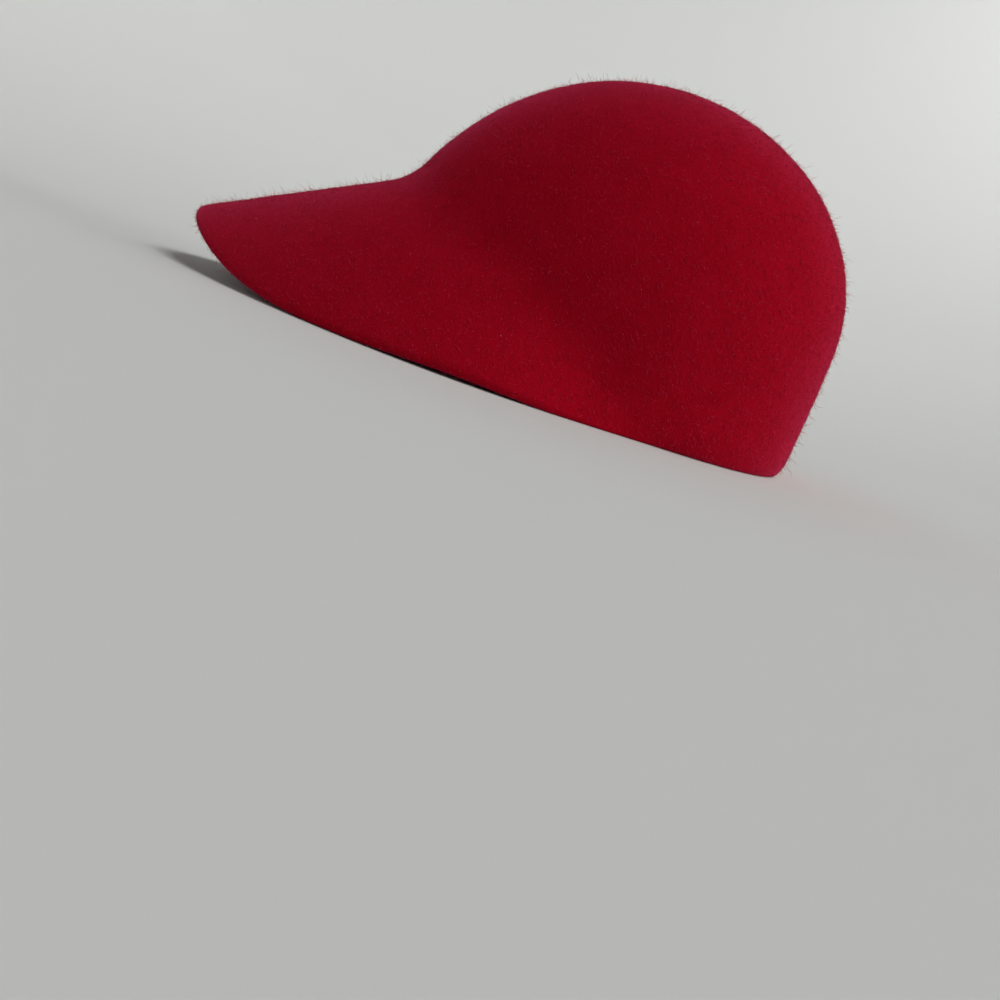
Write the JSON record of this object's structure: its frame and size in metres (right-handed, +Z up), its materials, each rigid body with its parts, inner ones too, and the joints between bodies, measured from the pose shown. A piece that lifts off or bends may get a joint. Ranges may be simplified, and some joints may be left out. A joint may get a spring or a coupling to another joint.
{
  "type": "felt cap",
  "caption": "Cap blocked from one piece of red felt, with a tall oval crown that flows into a long arched peak and a round turned edge, hollow and open below.",
  "frame": {"origin": "middle of the head opening, on the plane that the rim rests on", "axes": "+Z up through the crown, -Y towards the tip of the peak, +Y towards the back of the head, +X towards the wearer's left"},
  "size_m": [0.2062, 0.2954, 0.1434],
  "materials": {
    "felt": "matte crimson felt with a short combed nap"
  },
  "bodies": {
    "root": {"felt_cap": "felt"}
  },
  "joints": []
}
